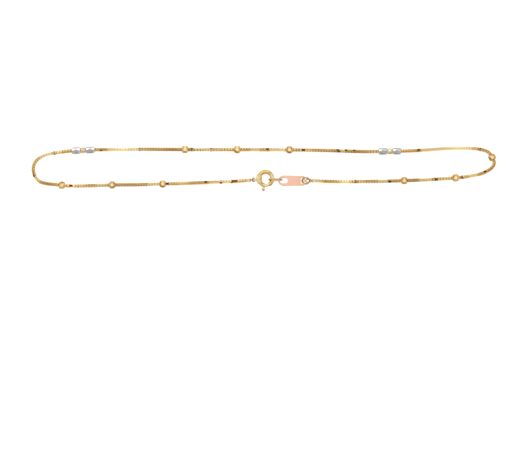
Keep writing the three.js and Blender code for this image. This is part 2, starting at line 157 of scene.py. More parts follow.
# Places that clasp, rings, eyes and tag share
outward = np.array([math.cos(math.radians(EYELET_ANGLE)), math.sin(math.radians(EYELET_ANGLE)), 0])
eyelet_distance = CLASP_PATH + COLLAR_RADIUS + EYELET_CLEARANCE + CHAIN_RING[1] / 2
chain_ring_drop = CLASP_MIDDLE[2] - CLASP_EYE_HEIGHT
chain_ring_slope = math.asin(chain_ring_drop / (2 * CHAIN_RING[0]))
clasp_eye_distance = eyelet_distance + 2 * CHAIN_RING[0] * math.cos(chain_ring_slope)


def out_from_clasp(distance, z):
    x, y, _ = CLASP_MIDDLE + outward * distance
    return np.array([x, y, z])


clasp_eye_middle = out_from_clasp(clasp_eye_distance, CLASP_EYE_HEIGHT)
chain_start = out_from_clasp(clasp_eye_distance + CLASP_EYE[0] + CONE_LENGTH, CLASP_EYE_HEIGHT)
tag_ring_middle = TAG_LEFT_END + [TAG_HOLE[0] + TAG_HOLE[1] / 2 + TAG_RING[0], 0, 0]
tag_eye_middle = tag_ring_middle + [TAG_RING[0] - TAG_EYE_STRAIGHT / 2, 0, 0]
chain_end = tag_eye_middle + [TAG_EYE_STRAIGHT / 2 + TAG_EYE[0] + CONE_LENGTH, 0, 0]


def smooth_step(x, low, high):
    t = min(1, max(0, (x - low) / (high - low)))
    return t * t * (3 - 2 * t)


class Route:
    """The chain's centre line by the length along it: a centripetal spline in plan, with straight
    stretches through beads and stations, and a height that rises to what it passes through."""

    def __init__(self):
        points = [chain_start[:2], *(np.array(p) for p in ROUTE), chain_end[:2]]
        points = [2 * points[0] - points[1], *points, 2 * points[-1] - points[-2]]
        plan = []
        for i in range(len(points) - 3):
            plan.extend(self.stretch(*points[i:i + 4]))
        plan.append(points[-2])
        self.plan = np.array(plan)
        steps = np.linalg.norm(np.diff(self.plan, axis=0), axis=1)
        self.along = np.concatenate([[0], np.cumsum(steps)])
        self.length = float(self.along[-1])
        bead_half = BEAD_LENGTH / 2 + STRAIGHT_MARGIN
        station_half = STATION_LENGTH / 2 + STRAIGHT_MARGIN
        self.straights = [(m, bead_half, BEAD_DIAMETER / 2) for m in BEAD_PLACES]
        self.straights += [(m, station_half, TUBE_DIAMETER / 2) for m in STATION_PLACES]
        self.holds = self.straights + [(0, 0, chain_start[2]), (self.length, 0, chain_end[2])]

    @staticmethod
    def stretch(p0, p1, p2, p3, count=48):
        """Points of the spline from its second knot up to, and without, its third."""
        d0, d1, d2 = (math.sqrt(np.linalg.norm(b - a)) for a, b in ((p0, p1), (p1, p2), (p2, p3)))
        m1 = d1 * ((p1 - p0) / d0 - (p2 - p0) / (d0 + d1) + (p2 - p1) / d1)
        m2 = d1 * ((p2 - p1) / d1 - (p3 - p1) / (d1 + d2) + (p3 - p2) / d2)
        made = []
        for i in range(count):
            t = i / count
            t2, t3 = t * t, t * t * t
            made.append(
                (2 * t3 - 3 * t2 + 1) * p1 + (t3 - 2 * t2 + t) * m1
                + (3 * t2 - 2 * t3) * p2 + (t3 - t2) * m2
            )
        return made

    def on_plan(self, s):
        return np.array([np.interp(s, self.along, column) for column in self.plan.T])

    def height(self, s):
        z = CHAIN_REST
        for middle, half, height in self.holds:
            z += (height - CHAIN_REST) * (1 - smooth_step(abs(s - middle) - half, SINK_START, SINK_END))
        return z

    def point(self, s):
        s = min(self.length, max(0, s))
        for middle, half, _ in self.straights:
            if abs(s - middle) < half:
                a, b = self.on_plan(middle - half), self.on_plan(middle + half)
                x, y = a + (b - a) * (s - middle + half) / (2 * half)
                return np.array([x, y, self.height(middle)])
        x, y = self.on_plan(s)
        return np.array([x, y, self.height(s)])

    def axes(self, s, half_step):
        """Tangent, side and upward direction at a place, rolled about the chain as its solid is."""
        tangent = self.point(s + half_step) - self.point(s - half_step)
        tangent /= np.linalg.norm(tangent)
        side = np.cross([0, 0, 1], tangent)
        side /= np.linalg.norm(side)
        up = np.cross(tangent, side)
        roll = CHAIN_TURN * math.sin(s * 2 * math.pi / CHAIN_ROLL_LENGTH)
        cos, sin = math.cos(roll), math.sin(roll)
        return tangent, side * cos + up * sin, up * cos - side * sin


route = Route()


# Mesh helpers
def new_object(name, vertices, faces, material, smooth_angle=None):
    mesh = bpy.data.meshes.new(name)
    mesh.from_pydata([tuple(v * MM for v in p) for p in vertices], [], faces)
    mesh.validate()
    made = bpy.data.objects.new(name, mesh)
    bpy.context.scene.collection.objects.link(made)
    mesh.materials.append(material)
    if smooth_angle is not None:
        shade(made, smooth_angle)
    return made


def shade(made, angle):
    """Smooth shading, with edges sharper than the angle kept hard."""
    mesh = made.data
    mesh.polygons.foreach_set("use_smooth", [True] * len(mesh.polygons))
    bm = bmesh.new()
    bm.from_mesh(mesh)
    for edge in bm.edges:
        edge.smooth = len(edge.link_faces) == 2 and edge.calc_face_angle(0) < math.radians(angle)
    bm.to_mesh(mesh)
    bm.free()


def row_faces(rows, sides, closed):
    """Faces between rows of vertices, which close on the first row or else end in two caps."""
    faces = []
    for i in range(rows if closed else rows - 1):
        j = (i + 1) % rows
        for k in range(sides):
            n = (k + 1) % sides
            faces.append((i * sides + k, i * sides + n, j * sides + n, j * sides + k))
    if not closed:
        faces.append(tuple(range(sides - 1, -1, -1)))
        faces.append(tuple((rows - 1) * sides + k for k in range(sides)))
    return faces


def swept(centres, frames, section, closed=True):
    """A tube's vertices and faces: the section, pairs along each frame's two axes, at each centre."""
    vertices = []
    for centre, (a, b) in zip(centres, frames):
        vertices.extend(centre + a * x + b * y for x, y in section)
    return vertices, row_faces(len(centres), len(section), closed)


def round_section(radius, sides):
    return [
        (radius * math.cos(2 * math.pi * k / sides), radius * math.sin(2 * math.pi * k / sides))
        for k in range(sides)
    ]


def turned_rod(centres, radii, side, up, sides=28):
    """A capped rod with a round section of its own at each centre."""
    vertices = []
    for centre, radius in zip(centres, radii):
        vertices.extend(centre + side * x + up * y for x, y in round_section(radius, sides))
    return vertices, row_faces(len(centres), sides, closed=False)


class Parts:
    """Several closed shells gathered for one mesh."""

    def __init__(self):
        self.vertices = []
        self.faces = []

    def add(self, vertices, faces):
        start = len(self.vertices)
        self.vertices.extend(vertices)
        self.faces.extend(tuple(start + i for i in face) for face in faces)


def turn_x(degrees):
    return np.array(Matrix.Rotation(math.radians(degrees), 3, "X"))


def turn_y(degrees):
    return np.array(Matrix.Rotation(math.radians(degrees), 3, "Y"))


def turn_z(degrees):
    return np.array(Matrix.Rotation(math.radians(degrees), 3, "Z"))


def wire_ring(radius, wire, middle, turn, straight=0, segments=64, sides=20):
    """A ring of round wire in its own XY plane, turned and moved; straight pulls it into an oval along X."""
    centres = []
    frames = []
    stretch_steps = 6 if straight else 0
    outline = []
    for k in range(segments + 1):
        angle = -math.pi / 2 + math.pi * k / segments
        outline.append((radius * math.cos(angle) + straight / 2, radius * math.sin(angle), angle))
    for k in range(1, stretch_steps):
        outline.append((straight / 2 - straight * k / stretch_steps, radius, math.pi / 2))
    for k in range(segments + 1):
        angle = math.pi / 2 + math.pi * k / segments
        outline.append((radius * math.cos(angle) - straight / 2, radius * math.sin(angle), angle))
    for k in range(1, stretch_steps):
        outline.append((-straight / 2 + straight * k / stretch_steps, -radius, -math.pi / 2))
    if not straight:
        del outline[-1], outline[segments]
    for x, y, angle in outline:
        centres.append(turn @ np.array([x, y, 0]) + middle)
        frames.append((turn @ np.array([math.cos(angle), math.sin(angle), 0]), turn @ np.array([0, 0, 1])))
    return swept(centres, frames, round_section(wire / 2, sides))


def bent_rod(radius, start, end, sides=32, step=3):
    """A capped round rod along the clasp's circle, from one angle to another in short steps."""
    count = max(2, math.ceil((end - start) / step))
    centres = []
    frames = []
    for i in range(count + 1):
        angle = math.radians(start + (end - start) * i / count)
        out = np.array([math.cos(angle), math.sin(angle), 0])
        centres.append(CLASP_MIDDLE + out * CLASP_PATH)
        frames.append((out, np.array([0, 0, 1])))
    return swept(centres, frames, round_section(radius, sides), closed=False)


def outward_faces(made):
    """Turns every shell's faces outwards."""
    bm = bmesh.new()
    bm.from_mesh(made.data)
    bmesh.ops.recalc_face_normals(bm, faces=bm.faces)
    bm.to_mesh(made.data)
    bm.free()


def cut(made, tools, operation="DIFFERENCE"):
    """Boolean cuts by objects that are removed afterwards."""
    outward_faces(made)
    for tool in tools:
        outward_faces(tool)
        modifier = made.modifiers.new("cut", "BOOLEAN")
        modifier.operation = operation
        modifier.solver = "EXACT"
        modifier.object = tool
        apply_modifiers(made)
        bpy.data.objects.remove(tool)


def apply_modifiers(made):
    graph = bpy.context.evaluated_depsgraph_get()
    mesh = bpy.data.meshes.new_from_object(made.evaluated_get(graph))
    old = made.data
    made.modifiers.clear()
    made.data = mesh
    bpy.data.meshes.remove(old)


def softened(made, width, angle=30):
    """Rounds a mesh's sharp edges a little."""
    modifier = made.modifiers.new("soft_edges", "BEVEL")
    modifier.width = width * MM
    modifier.segments = 2
    modifier.limit_method = "ANGLE"
    modifier.angle_limit = math.radians(angle)
    apply_modifiers(made)


def shade_by_area(made, angle):
    """Smooth shading in which wide flat faces stay flat."""
    shade(made, angle)
    modifier = made.modifiers.new("by_area", "WEIGHTED_NORMAL")
    modifier.mode = "FACE_AREA"
    modifier.weight = 50
    modifier.keep_sharp = True
    apply_modifiers(made)


# Materials
def node_tree(name):
    material = bpy.data.materials.new(name)
    material.use_nodes = True
    tree = material.node_tree
    tree.nodes.clear()
    output = tree.nodes.new("ShaderNodeOutputMaterial")
    shader = tree.nodes.new("ShaderNodeBsdfPrincipled")
    tree.links.new(shader.outputs["BSDF"], output.inputs["Surface"])
    return material, tree, shader


def noise(tree, vector, scale, detail, roughness=0.5):
    made = tree.nodes.new("ShaderNodeTexNoise")
    made.inputs["Scale"].default_value = scale
    made.inputs["Detail"].default_value = detail
    made.inputs["Roughness"].default_value = roughness
    tree.links.new(vector, made.inputs["Vector"])
    return made.outputs["Fac"]


def ramp(tree, value, stops):
    made = tree.nodes.new("ShaderNodeValToRGB")
    elements = made.color_ramp.elements
    while len(elements) < len(stops):
        elements.new(0.5)
    for element, (place, colour) in zip(elements, stops):
        element.position = place
        element.color = (*colour, 1)
    tree.links.new(value, made.inputs["Fac"])
    return made.outputs["Color"]


def to_range(tree, value, low, high, new_low, new_high):
    made = tree.nodes.new("ShaderNodeMapRange")
    for name, number in (("From Min", low), ("From Max", high), ("To Min", new_low), ("To Max", new_high)):
        made.inputs[name].default_value = number
    tree.links.new(value, made.inputs["Value"])
    return made.outputs["Result"]


def mixed(tree, share, first, second):
    """The second colour over the first by a share; each colour is three numbers or a socket."""
    made = tree.nodes.new("ShaderNodeMix")
    made.data_type = "RGBA"
    tree.links.new(share, made.inputs[0])
    for socket, colour in ((made.inputs[6], first), (made.inputs[7], second)):
        if isinstance(colour, tuple):
            socket.default_value = (*colour, 1)
        else:
            tree.links.new(colour, socket)
    return made.outputs[2]


def stretched(tree, vector, factors):
    made = tree.nodes.new("ShaderNodeMapping")
    made.inputs["Scale"].default_value = factors
    tree.links.new(vector, made.inputs["Vector"])
    return made.outputs["Vector"]


def bump(tree, shader, heights, distance, strength):
    made = tree.nodes.new("ShaderNodeBump")
    made.inputs["Strength"].default_value = strength
    made.inputs["Distance"].default_value = distance
    tree.links.new(heights, made.inputs["Height"])
    tree.links.new(made.outputs["Normal"], shader.inputs["Normal"])


def calculated(tree, operation, *values):
    """One or two sockets through a Math node."""
    made = tree.nodes.new("ShaderNodeMath")
    made.operation = operation
    for value, socket in zip(values, made.inputs):
        tree.links.new(value, socket)
    return made.outputs["Value"]


def separated(tree, vector, axis):
    made = tree.nodes.new("ShaderNodeSeparateXYZ")
    tree.links.new(vector, made.inputs["Vector"])
    return made.outputs[axis]


def attribute(tree, name):
    made = tree.nodes.new("ShaderNodeAttribute")
    made.attribute_name = name
    return made.outputs["Fac"]


def upright_share(tree, top, bottom):
    """From 0 where the surface faces up or down by more than top, to 1 where it stands upright."""
    normal = tree.nodes.new("ShaderNodeNewGeometry").outputs["Normal"]
    level = calculated(tree, "ABSOLUTE", separated(tree, normal, "Z"))
    return to_range(tree, level, bottom, top, 1, 0)


def metal(name, dark, middle, light, side, rough, cloud=700, facets=None, level=(0.66, 0.15), warm_reflection=None):
    """A polished metal: slow shifts of tone, fine scratches in gloss and relief, a painted highlight on
    sharp edges and painted shade on upright sides. Flat cuts can carry painted reflections, from the first
    facet colour by way of the usual one to the second, and a warmer painted reflection can lie across the
    metal, between two places along Y."""
    material, tree, shader = node_tree(name)
    shader.inputs["Metallic"].default_value = 1
    place = tree.nodes.new("ShaderNodeTexCoord").outputs["Object"]
    tone = noise(tree, place, cloud, 2)
    colour = ramp(tree, tone, [(0.32, dark), (0.5, middle), (0.68, light)])
    geometry = tree.nodes.new("ShaderNodeNewGeometry")
    # Painted highlight: sharp convex edges lightened towards the light colour
    edge = to_range(tree, geometry.outputs["Pointiness"], 0.5, 0.62, 0, 0.35)
    colour = mixed(tree, edge, colour, light)
    if facets:
        first, second = facets
        # Painted reflections: each flat cut darkened towards the first colour or lightened towards the
        # second by its stored tone
        cut_reflection_tone = attribute(tree, "cut_reflection_tone")
        colour = mixed(tree, to_range(tree, cut_reflection_tone, 0.15, 0.6, 1, 0), colour, first)
        colour = mixed(tree, to_range(tree, cut_reflection_tone, 0.6, 0.95, 0, 1), colour, second)
    if warm_reflection:
        # Painted reflection: a warmer colour laid over one side of the metal, between two places along Y
        start, end, reflected_warm_colour = warm_reflection
        across = to_range(tree, separated(tree, place, "Y"), start, end, 0, 0.75)
        colour = mixed(tree, across, colour, reflected_warm_colour)
    # Painted shade: upright sides darkened towards the side colour
    colour = mixed(tree, upright_share(tree, *level), colour, side)
    tree.links.new(colour, shader.inputs["Base Color"])
    scratches = noise(tree, place, 9000, 4, 0.6)
    tree.links.new(to_range(tree, scratches, 0.3, 0.7, *rough), shader.inputs["Roughness"])
    bump(tree, shader, scratches, 0.00001, 0.25)
    return material


# Each metal's fifth colour is painted shade for its upright sides, and its facet colours, where it has them,
# are painted dark and bright reflections
bead_gold = metal(
    "bead_gold", (0.90, 0.56, 0.20), (1.0, 0.69, 0.28), (1.0, 0.80, 0.42), (0.42, 0.22, 0.06), (0.08, 0.2),
    facets=((0.56, 0.30, 0.08), (1.0, 0.86, 0.50)), level=(0.78, 0.3)
)
# The clasp's warm colour is a painted reflection on one side of the ring
clasp_gold = metal(
    "clasp_gold", (0.58, 0.38, 0.12), (0.84, 0.60, 0.24), (1.0, 0.86, 0.50), (0.30, 0.18, 0.05), (0.1, 0.24),
    warm_reflection=((CLASP_MIDDLE[1] + 0.4) * MM, (CLASP_MIDDLE[1] + 2.2) * MM, (0.84, 0.50, 0.18))
)
ring_gold = metal(
    "ring_gold", (0.40, 0.25, 0.08), (0.62, 0.43, 0.18), (0.92, 0.74, 0.42), (0.22, 0.13, 0.04), (0.12, 0.26)
)
bolt_gold = metal(
    "bolt_gold", (0.66, 0.40, 0.20), (0.84, 0.56, 0.32), (0.98, 0.74, 0.5), (0.34, 0.19, 0.08), (0.12, 0.26)
)
white_gold = metal(
    "white_gold", (0.50, 0.49, 0.475), (0.66, 0.65, 0.62), (0.88, 0.86, 0.82), (0.27, 0.265, 0.26),
    (0.08, 0.2), cloud=1500, facets=((0.30, 0.295, 0.28), (0.88, 0.86, 0.81)), level=(0.92, 0.25)
)
station_gold = metal(
    "station_gold", (0.62, 0.45, 0.20), (0.82, 0.63, 0.34), (1.0, 0.90, 0.62), (0.32, 0.21, 0.09),
    (0.08, 0.2), facets=((0.52, 0.34, 0.15), (1.0, 0.92, 0.68))
)


def chain_gold():
    """The links' gold with painted light: a painted highlight where the chain would be turned to the light,
    painted dark reflections on a few links, and painted shade on upright sides.
    """
    material, tree, shader = node_tree("chain_gold")
    shader.inputs["Metallic"].default_value = 1
    place = tree.nodes.new("ShaderNodeTexCoord").outputs["Object"]
    tone = attribute(tree, "link_painted_light")
    # Painted light: a painted dark reflection at 0, the chain's usual amber at 0.5, a painted highlight at 1
    colour = ramp(
        tree,
        tone,
        [
            (0.0, (0.10, 0.04, 0.008)), (0.25, (0.48, 0.25, 0.065)), (0.5, (0.88, 0.54, 0.155)),
            (1.0, (1.0, 0.82, 0.49)),
        ],
    )
    cloud = to_range(tree, noise(tree, place, 1400, 2), 0.35, 0.65, 0, 0.3)
    paler = calculated(tree, "MULTIPLY", cloud, to_range(tree, tone, 0, 0.4, 0, 1))
    colour = mixed(tree, paler, colour, (0.98, 0.74, 0.37))
    # Painted shade: upright sides darkened, except under the painted highlight
    upright = upright_share(tree, 0.8, 0.2)
    painted_side_shade = calculated(tree, "MULTIPLY", upright, to_range(tree, tone, 0.6, 0.85, 1, 0))
    colour = mixed(tree, painted_side_shade, colour, (0.42, 0.23, 0.06))
    tree.links.new(colour, shader.inputs["Base Color"])
    scratches = noise(tree, place, 11000, 3, 0.6)
    tree.links.new(to_range(tree, scratches, 0.3, 0.7, 0.24, 0.4), shader.inputs["Roughness"])
    bump(tree, shader, scratches, 0.000008, 0.25)
    return material


def tag_metal():
    """Satin rose gold: fine strokes along the tag, pinkest in the middle, paler at the left end, and
    yellower at the far end by a painted reflection.
    """
    material, tree, shader = node_tree("tag_rose_gold")
    shader.inputs["Metallic"].default_value = 1
    place = tree.nodes.new("ShaderNodeTexCoord").outputs["Object"]
    left = TAG_LEFT_END[0] * MM
    share = to_range(tree, separated(tree, place, "X"), left, left + TAG_LENGTH * MM, 0, 1)
    # The shift to yellower towards the far end is a painted reflection
    colour = ramp(
        tree,
        share,
        [
            (0.0, (0.80, 0.60, 0.46)), (0.28, (0.98, 0.60, 0.445)), (0.62, (1.0, 0.61, 0.45)),
            (0.8, (0.92, 0.59, 0.37)), (1.0, (0.86, 0.55, 0.32)),
        ],
    )
    cloud = noise(tree, place, 900, 3)
    colour = mixed(tree, to_range(tree, cloud, 0.3, 0.7, 0, 0.2), colour, (0.98, 0.64, 0.50))
    tree.links.new(colour, shader.inputs["Base Color"])
    strokes = noise(tree, stretched(tree, place, (0.12, 1, 1)), 16000, 3, 0.55)
    tree.links.new(to_range(tree, strokes, 0.3, 0.7, 0.4, 0.55), shader.inputs["Roughness"])
    bump(tree, shader, strokes, 0.000006, 0.3)
    return material


chain_material = chain_gold()
tag_material = tag_metal()


# Chain
LINK_LENGTH = 0.76
LINK_PITCH = 0.385
LINK_WALL = 0.185
LINK_WIDTH = 0.95
LINK_BAND = 0.53
LINK_CORNER = 0.24
LINK_INNER_CORNER = 0.04
LINK_BEVEL = 0.05
# Links alternate in painted light by these factors: painted shade on one link, a painted highlight on the
# next
LINK_LIGHT_FACTORS = (0.86, 1.12)
# Lengths along the chain where single links carry a painted dark reflection, how far from one a link still
# darkens, and how much
DARK_REFLECTION_LINKS = [
    3.9, 4.8, 8.1, 12.3, 23.0, 50.1, 61.3, 71.1, 84.3, 95.2, 109.8, 115.1, 130.8, 140.9, 150.7, 152.9,
    155.1, 173.1, 190.4, 200.2, 206.9, 214.2, 227.1, 236.6,
]
DARK_REFLECTION_REACH = 0.3
DARK_REFLECTION_GAIN = 2.4
# Stretches of the chain with a painted highlight, as if turned to the light, and half the length over which
# one begins or ends
HIGHLIGHT_STRETCHES = [
    (5.4, 11.4), (25.4, 28.6), (39.6, 43.0), (48.8, 50.0), (59.0, 61.2), (67.0, 70.6), (72.0, 73.0),
    (86.0, 94.6), (110.2, 114.8), (125.8, 128.6), (131.6, 135.8), (151.2, 152.6), (174.0, 188.0),
    (202.4, 205.0), (215.4, 218.8), (227.6, 230.2), (238.2, 241.0), (245.8, 248.7),
]
HIGHLIGHT_FADE = 0.4


def link_outline():
    """A link's round-cornered square in plan, from inside to outside: pairs of matching points."""
    made = []
    corner_steps = 2
    for cx, cy, start in ((1, 1, 0), (-1, 1, 90), (-1, -1, 180), (1, -1, 270)):
        for k in range(corner_steps + 1):
            angle = math.radians(start + 90 * k / corner_steps)
            c, s = math.cos(angle), math.sin(angle)
            outer = (
                cx * (LINK_LENGTH / 2 - LINK_CORNER) + LINK_CORNER * c,
                cy * (LINK_WIDTH / 2 - LINK_CORNER) + LINK_CORNER * s,
            )
            inner = (
                cx * (LINK_LENGTH / 2 - LINK_WALL - LINK_INNER_CORNER) + LINK_INNER_CORNER * c,
                cy * (LINK_WIDTH / 2 - LINK_WALL - LINK_INNER_CORNER) + LINK_INNER_CORNER * s,
            )
            made.append((inner, outer))
    return made


def link_painted_light(s):
    """0 for a link with a painted dark reflection, 0.5 for the chain's usual amber, 1 for a painted
    highlight where it would be turned to the light.
    """
    light = 0
    for start, end in HIGHLIGHT_STRETCHES:
        begun = smooth_step(s, start - HIGHLIGHT_FADE, start + HIGHLIGHT_FADE)
        ended = smooth_step(s, end - HIGHLIGHT_FADE, end + HIGHLIGHT_FADE)
        light = max(light, begun * (1 - ended))
    dark = max(max(0, 1 - abs(s - place) / DARK_REFLECTION_REACH) for place in DARK_REFLECTION_LINKS)
    sway = 0.5 + 0.06 * math.sin(s * 0.39 + 1.1) + 0.06 * math.sin(s * 1.07 + 0.4)
    return (sway + (1 - sway) * light) * (1 - min(1, DARK_REFLECTION_GAIN * dark))


def box_links():
    """All links as one mesh, every second one turned a quarter about the chain."""
    outline = link_outline()
    rows = len(outline)
    half = LINK_BAND / 2
    bevel = LINK_BEVEL
    # One link along X, Y and Z: across the band from its inner rim, over the outer face, to the other rim
    unit = []
    for inner, outer in outline:
        ix, iy = inner
        ox, oy = outer
        length = math.hypot(ox - ix, oy - iy)
        bx, by = ox - (ox - ix) / length * bevel, oy - (oy - iy) / length * bevel
        unit.extend([
            (ix, iy, -half), (bx, by, -half), (ox, oy, -half + bevel),
            (ox, oy, half - bevel), (bx, by, half), (ix, iy, half),
        ])
    unit = np.array(unit)
    sides = 6
    unit_faces = []
    for i in range(rows):
        j = (i + 1) % rows
        for k in range(sides):
            n = (k + 1) % sides
            unit_faces.append((i * sides + k, j * sides + k, j * sides + n, i * sides + n))
    count = round((route.length - LINK_LENGTH) / LINK_PITCH) + 1
    pitch = (route.length - LINK_LENGTH) / (count - 1)
    made = Parts()
    tones = []
    for i in range(count):
        s = LINK_LENGTH / 2 + i * pitch
        tangent, side, up = route.axes(s, LINK_LENGTH / 2)
        if i % 2:
            side, up = up, -side
        basis = np.array([tangent, side, up])
        made.add(list(unit @ basis + route.point(s)), unit_faces)
        tones.extend([link_painted_light(s) * LINK_LIGHT_FACTORS[i % 2]] * len(unit))
    chain = new_object("box_chain_links", made.vertices, made.faces, chain_material, 35)
    chain.data.attributes.new("link_painted_light", "FLOAT", "POINT").data.foreach_set("value", tones)
    return chain


def chain_ends():
    """The soldered eye and cone at both ends of the chain."""
    made = Parts()
    upright = turn_z(EYELET_ANGLE) @ turn_x(90)
    leaning = turn_x(TAG_EYE_LEAN)
    made.add(*wire_ring(*CLASP_EYE, clasp_eye_middle, upright, segments=32, sides=16))
    made.add(*wire_ring(*TAG_EYE, tag_eye_middle, leaning, TAG_EYE_STRAIGHT, segments=32, sides=16))
    # From the chain to the eye: a share of the cone's length, and of the radius to the chain's corners
    profile = [(0, 0.86), (0.02, 0.97), (0.1, 1), (0.5, 0.95), (0.8, 0.78), (0.95, 0.5), (1, 0.3)]
    up = np.array([0, 0, 1])
    ends = ((chain_start, -outward, CLASP_EYE), (chain_end, np.array([-1.0, 0, 0]), TAG_EYE))
    for tip, direction, (_, wire) in ends:
        centres = [tip + direction * CONE_LENGTH * share for share, _ in profile]
        radii = [max(wire / 2, CHAIN_CORNER * radius) for _, radius in profile]
        made.add(*turned_rod(centres, radii, np.cross(up, direction), up))
    ends_piece = new_object("chain_end_eyes", made.vertices, made.faces, ring_gold)
    outward_faces(ends_piece)
    shade(ends_piece, 40)
    return ends_piece


links = box_links()
ends = chain_ends()
for piece in (links, ends):
    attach(piece, "anklet")
    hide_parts("box_chain")


# Clasp
def eyelet_rod(radius, width, sides=40):
    """A short level rod across the middle of the upright eyelet."""
    middle = CLASP_MIDDLE + outward * eyelet_distance
    up = np.array([0, 0, 1.0])
    across = np.cross(up, outward)
    centres = [middle - across * width / 2, middle + across * width / 2]
    return swept(centres, [(outward, up)] * 2, round_section(radius, sides), closed=False)


def sector(start, end, height, reach, steps=12):
    """A flat sector from the ring's centre line outwards."""
    angles = [math.radians(start + (end - start) * k / steps) for k in range(steps + 1)]
    outline = [(reach * math.cos(a), reach * math.sin(a)) for a in angles]
    outline += [(CLASP_PATH * math.cos(a), CLASP_PATH * math.sin(a)) for a in reversed(angles)]
    count = len(outline)
    vertices = [CLASP_MIDDLE + [x, y, z] for z in (-height / 2, height / 2) for x, y in outline]
    faces = [tuple(range(count - 1, -1, -1)), tuple(range(count, 2 * count))]
    faces += [(k, (k + 1) % count, count + (k + 1) % count, count + k) for k in range(count)]
    return vertices, faces


def clasp_ring():
    """The hollow ring with collar and eyelet, cut out for the bolt and its trigger."""

    def tool(data):
        return new_object("clasp_tool", *data, clasp_gold)

    hollow = CLASP_TUBE / 2 - CLASP_WALL
    post_angle = math.degrees(TRIGGER_POST / 2 / CLASP_PATH)
    slot_start = TRIGGER_ANGLE - BOLT_TRAVEL - 2 * post_angle
    spring_start = BOLT_START - BOLT_TRAVEL - SPRING_ROOM
    mouth_start = MOUTH_START + MOUTH_OVERCUT
    ring = new_object("spring_ring", *bent_rod(CLASP_TUBE / 2, MOUTH_END, MOUTH_START + 360), clasp_gold)
    cut(ring, [tool(bent_rod(COLLAR_RADIUS, COLLAR_START, COLLAR_END))], "UNION")
    cut(ring, [tool(eyelet_rod(EYELET_HOLE / 2 + EYELET_RIM, EYELET_THICKNESS))], "UNION")
    cut(
        ring,
        [
            tool(eyelet_rod(EYELET_HOLE / 2, 2 * EYELET_THICKNESS)),
            tool(bent_rod(hollow, spring_start, mouth_start)),
            tool(bent_rod(hollow, MOUTH_END - MOUTH_OVERCUT, BOLT_END + MOUTH_OVERCUT)),
            tool(sector(slot_start, mouth_start, TRIGGER_POST + TRIGGER_SLOT_GAP, TRIGGER_SLOT_REACH)),
        ],
    )
    softened(ring, 0.025)
    shade_by_area(ring, 40)
    return ring


def clasp_bolt():
    """The curved bolt with its trigger: a post with a round knob."""
    bolt = new_object("clasp_bolt_rod", *bent_rod(BOLT_RADIUS, BOLT_START, BOLT_END), bolt_gold)
    reach = TRIGGER_REACH - CLASP_PATH
    knob = TRIGGER_KNOB / 2
    post = TRIGGER_POST / 2
    # From the bolt to the trigger's tip: a share of its length, and the radius
    profile = [
        (0.0, post), (0.44, post), (0.5, 1.1 * post), (0.6, 0.72 * knob), (0.68, 0.95 * knob), (0.74, knob),
        (0.8, 0.98 * knob), (0.88, 0.84 * knob), (0.95, 0.56 * knob), (1.0, 0.2 * knob),
    ]
    direction = turn_z(TRIGGER_ANGLE) @ np.array([1.0, 0, 0])
    side = turn_z(TRIGGER_ANGLE) @ np.array([0, 1.0, 0])
    centres = [CLASP_MIDDLE + direction * (CLASP_PATH + reach * share) for share, _ in profile]
    trigger = turned_rod(centres, [radius for _, radius in profile], side, np.array([0, 0, 1.0]))
    cut(bolt, [new_object("trigger_tool", *trigger, bolt_gold)], "UNION")
    softened(bolt, 0.02)
    shade_by_area(bolt, 40)
    return bolt


ring_piece = clasp_ring()
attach(ring_piece, "anklet")
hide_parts("clasp_ring")
bolt_piece = clasp_bolt()
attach(bolt_piece, "bolt")
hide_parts("clasp_bolt")


# Jump rings and tag
hook_offset = HOOK_RING_MIDDLE_Y - CLASP_MIDDLE[1]
tube_x = CLASP_MIDDLE[0] + math.sqrt(CLASP_PATH ** 2 - hook_offset ** 2)
rings = {
    "chain_jump_ring": wire_ring(
        *CHAIN_RING,
        out_from_clasp((eyelet_distance + clasp_eye_distance) / 2, CLASP_MIDDLE[2] - chain_ring_drop / 2),
        turn_z(EYELET_ANGLE) @ turn_y(math.degrees(chain_ring_slope)),
    ),
    "hook_jump_ring": wire_ring(
        *HOOK_RING,
        np.array([tube_x + HOOK_RING_STRAIGHT / 2, HOOK_RING_MIDDLE_Y, CLASP_MIDDLE[2]]),
        turn_x(HOOK_RING_LEAN),
        straight=HOOK_RING_STRAIGHT,
    ),
    "tag_jump_ring": wire_ring(*TAG_RING, tag_ring_middle, turn_x(TAG_RING_LEAN)),
}
for name, data in rings.items():
    piece = new_object(name + "_wire", *data, ring_gold)
    outward_faces(piece)
    shade(piece, 60)
    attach(piece, "anklet")
    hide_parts(name)


def arc(cx, cy, radius, start, end, count):
    return [
        (
            cx + radius * math.cos(math.radians(start + (end - start) * k / count)),
            cy + radius * math.sin(math.radians(start + (end - start) * k / count)),
        )
        for k in range(count + 1)
    ]


def slot_outline(left, length, width, count=8):
    corner = ROUND_SHARE * min(length, width)
    side = width / 2 - corner
    x0, x1 = left + corner, left + length - corner
    return (
        arc(x0, -side, corner, 180, 270, count) + arc(x1, -side, corner, 270, 360, count)
        + arc(x1, side, corner, 0, 90, count) + arc(x0, side, corner, 90, 180, count)
    )


def plate(name, outline, thickness, material):
    count = len(outline)
    half = thickness / 2
    vertices = [TAG_LEFT_END + [x, y, z] for z in (-half, half) for x, y in outline]
    faces = [tuple(range(count - 1, -1, -1)), tuple(range(count, 2 * count))]
    faces += [(k, (k + 1) % count, count + (k + 1) % count, count + k) for k in range(count)]
    return new_object(name, vertices, faces, material)


